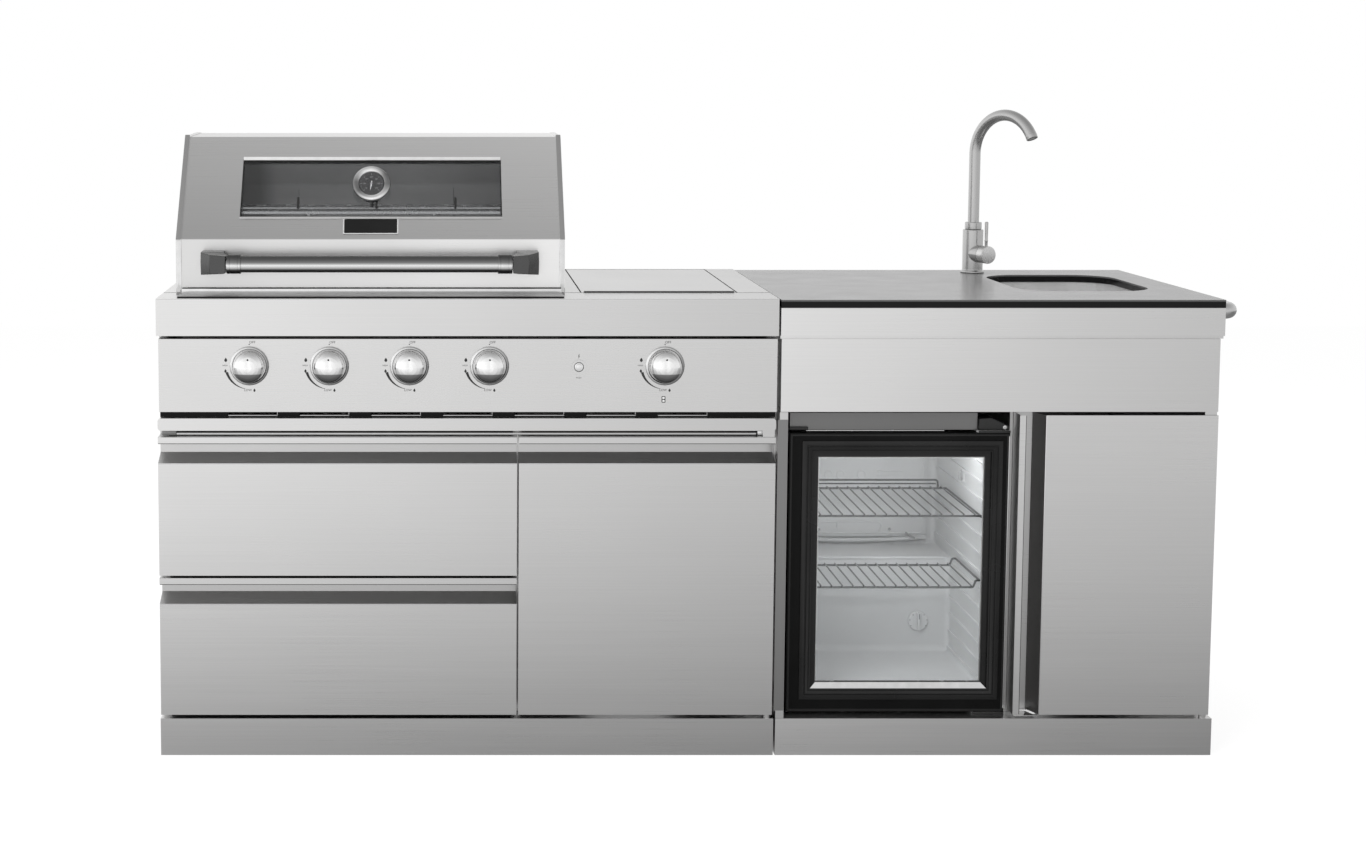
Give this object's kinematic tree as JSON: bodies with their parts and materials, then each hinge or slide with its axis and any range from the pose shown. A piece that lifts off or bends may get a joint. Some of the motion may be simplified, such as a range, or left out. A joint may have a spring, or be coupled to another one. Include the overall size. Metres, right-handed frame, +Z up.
{
  "type": "outdoor kitchen island",
  "caption": "Straight outdoor kitchen island: hooded gas barbecue with drawers and side burner joined to a stone-topped module with glazed fridge, sink and mixer tap.",
  "frame": {"origin": "centre of the bounding box at the floor, midway between the two ends and between knobs and back", "axes": "+X to the right along the front, seen by someone who stands at it; +Y from the front to the back; +Z up"},
  "size_m": [2.124, 0.69, 1.2563],
  "materials": {
    "brushed_steel": "bright brushed stainless sheet, grain along the sheet",
    "inner_steel": "dull mill-finish stainless sheet",
    "chrome": "polished",
    "black_enamel": "satin black enamel",
    "cast_iron": "matt seasoned iron",
    "black_door": "satin black",
    "fridge_liner": "satin pale grey moulding",
    "stone": "honed charcoal slab",
    "hood_window": "smoked toughened glass",
    "fridge_window": "clear double glazing"
  },
  "bodies": {
    "island": {"bbq_base": "brushed_steel", "bbq_side_left": "brushed_steel", "bbq_side_right": "brushed_steel", "bbq_back": "inner_steel", "bbq_divider": "inner_steel", "bbq_front_rail": "brushed_steel", "control_panel": "brushed_steel", "bbq_worktop": "brushed_steel", "firebox": "black_enamel", "burner_bank": "inner_steel", "grill_grate": "cast_iron", "hotplate": "cast_iron", "warming_rack": "chrome", "gas_manifold": "inner_steel", "side_burner_bowl": "inner_steel", "side_burner_trivet": "cast_iron", "sink_base": "brushed_steel", "sink_side_left": "brushed_steel", "sink_side_right": "brushed_steel", "sink_divider": "inner_steel", "sink_back": "inner_steel", "sink_apron": "brushed_steel", "benchtop": "stone", "sink_bowl": "brushed_steel", "sink_waste": "chrome", "tap_body": "chrome", "fridge_cabinet": "fridge_liner", "fridge_shelf_upper": "chrome", "fridge_shelf_lower": "chrome", "side_rail": "chrome"},
    "hood": {"hood": "brushed_steel", "hood_glass": "hood_window", "hood_thermometer": "chrome", "hood_handle_bar": "chrome", "hood_handle_post_left": "chrome", "hood_handle_post_right": "chrome"},
    "side_burner_cover": {"side_burner_cover": "brushed_steel"},
    "igniter": {"igniter_button": "chrome"},
    "drawer_upper": {"drawer_upper_front": "brushed_steel", "drawer_upper_box": "inner_steel"},
    "drawer_lower": {"drawer_lower_front": "brushed_steel", "drawer_lower_box": "inner_steel"},
    "gas_door": {"gas_door": "brushed_steel"},
    "cupboard_door": {"cupboard_door": "brushed_steel"},
    "fridge_door": {"fridge_door": "black_door", "fridge_glass": "fridge_window"},
    "fridge_dial": {"fridge_dial": "fridge_liner"},
    "tap_spout": {"tap_spout": "chrome"},
    "tap_cartridge": {"tap_cartridge": "chrome"},
    "tap_lever": {"tap_lever": "chrome"},
    "valve_1": {"valve_spindle_1": "inner_steel"},
    "knob_1": {"burner_knob_1": "chrome"},
    "valve_2": {"valve_spindle_2": "inner_steel"},
    "knob_2": {"burner_knob_2": "chrome"},
    "valve_3": {"valve_spindle_3": "inner_steel"},
    "knob_3": {"burner_knob_3": "chrome"},
    "valve_4": {"valve_spindle_4": "inner_steel"},
    "knob_4": {"burner_knob_4": "chrome"},
    "valve_5": {"valve_spindle_5": "inner_steel"},
    "knob_5": {"burner_knob_5": "chrome"}
  },
  "joints": [
    {"name": "hood_hinge", "type": "hinge", "parent": "island", "child": "hood", "pos_m": [-0.651, 0.255, 0.912], "axis": [-1, 0, 0], "range_deg": [0, 85]},
    {"name": "side_burner_cover_hinge", "type": "hinge", "parent": "island", "child": "side_burner_cover", "pos_m": [-0.081, 0.3327, 0.894], "axis": [-1, 0, 0], "range_deg": [0, 92]},
    {"name": "igniter_push", "type": "slide", "parent": "island", "child": "igniter", "axis": [0, 1, 0], "range_m": [0, 0.004], "stiffness_N_per_m": 400},
    {"name": "drawer_upper_slide", "type": "slide", "parent": "island", "child": "drawer_upper", "axis": [0, -1, 0], "range_m": [0, 0.4]},
    {"name": "drawer_lower_slide", "type": "slide", "parent": "island", "child": "drawer_lower", "axis": [0, -1, 0], "range_m": [0, 0.4]},
    {"name": "gas_door_hinge", "type": "hinge", "parent": "island", "child": "gas_door", "pos_m": [0.126, -0.296, 0.35], "axis": [0, 0, 1], "range_deg": [0, 100]},
    {"name": "cupboard_door_hinge", "type": "hinge", "parent": "island", "child": "cupboard_door", "pos_m": [0.981, -0.296, 0.35], "axis": [0, 0, 1], "range_deg": [0, 100]},
    {"name": "fridge_door_hinge", "type": "hinge", "parent": "island", "child": "fridge_door", "pos_m": [0.5915, -0.27, 0.35], "axis": [0, 0, 1], "range_deg": [0, 90]},
    {"name": "fridge_dial_turn", "type": "hinge", "parent": "island", "child": "fridge_dial", "pos_m": [0.495, 0.03, 0.182], "axis": [0, -1, 0], "range_deg": [0, 270]},
    {"name": "tap_spout_swivel", "type": "hinge", "parent": "island", "child": "tap_spout", "pos_m": [0.655, 0.28, 1.1], "axis": [0, 0, 1], "range_deg": [-80, 100]},
    {"name": "tap_temperature", "type": "hinge", "parent": "island", "child": "tap_cartridge", "pos_m": [0.655, 0.28, 0.941], "axis": [0.3355, -0.942, 0], "range_deg": [-40, 40]},
    {"name": "tap_flow", "type": "hinge", "parent": "tap_cartridge", "child": "tap_lever", "pos_m": [0.6719, 0.2326, 0.953], "axis": [0.942, 0.3355, 0], "range_deg": [0, 25]},
    {"name": "valve_push_1", "type": "slide", "parent": "island", "child": "valve_1", "axis": [0, 1, 0], "range_m": [0, 0.004], "stiffness_N_per_m": 600},
    {"name": "knob_turn_1", "type": "hinge", "parent": "valve_1", "child": "knob_1", "pos_m": [-0.8826, -0.32, 0.77], "axis": [0, -1, 0], "range_deg": [0, 180]},
    {"name": "valve_push_2", "type": "slide", "parent": "island", "child": "valve_2", "axis": [0, 1, 0], "range_m": [0, 0.004], "stiffness_N_per_m": 600},
    {"name": "knob_turn_2", "type": "hinge", "parent": "valve_2", "child": "knob_2", "pos_m": [-0.7282, -0.32, 0.77], "axis": [0, -1, 0], "range_deg": [0, 180]},
    {"name": "valve_push_3", "type": "slide", "parent": "island", "child": "valve_3", "axis": [0, 1, 0], "range_m": [0, 0.004], "stiffness_N_per_m": 600},
    {"name": "knob_turn_3", "type": "hinge", "parent": "valve_3", "child": "knob_3", "pos_m": [-0.5738, -0.32, 0.77], "axis": [0, -1, 0], "range_deg": [0, 180]},
    {"name": "valve_push_4", "type": "slide", "parent": "island", "child": "valve_4", "axis": [0, 1, 0], "range_m": [0, 0.004], "stiffness_N_per_m": 600},
    {"name": "knob_turn_4", "type": "hinge", "parent": "valve_4", "child": "knob_4", "pos_m": [-0.4194, -0.32, 0.77], "axis": [0, -1, 0], "range_deg": [0, 180]},
    {"name": "valve_push_5", "type": "slide", "parent": "island", "child": "valve_5", "axis": [0, 1, 0], "range_m": [0, 0.004], "stiffness_N_per_m": 600},
    {"name": "knob_turn_5", "type": "hinge", "parent": "valve_5", "child": "knob_5", "pos_m": [-0.081, -0.32, 0.77], "axis": [0, -1, 0], "range_deg": [0, 180]}
  ]
}
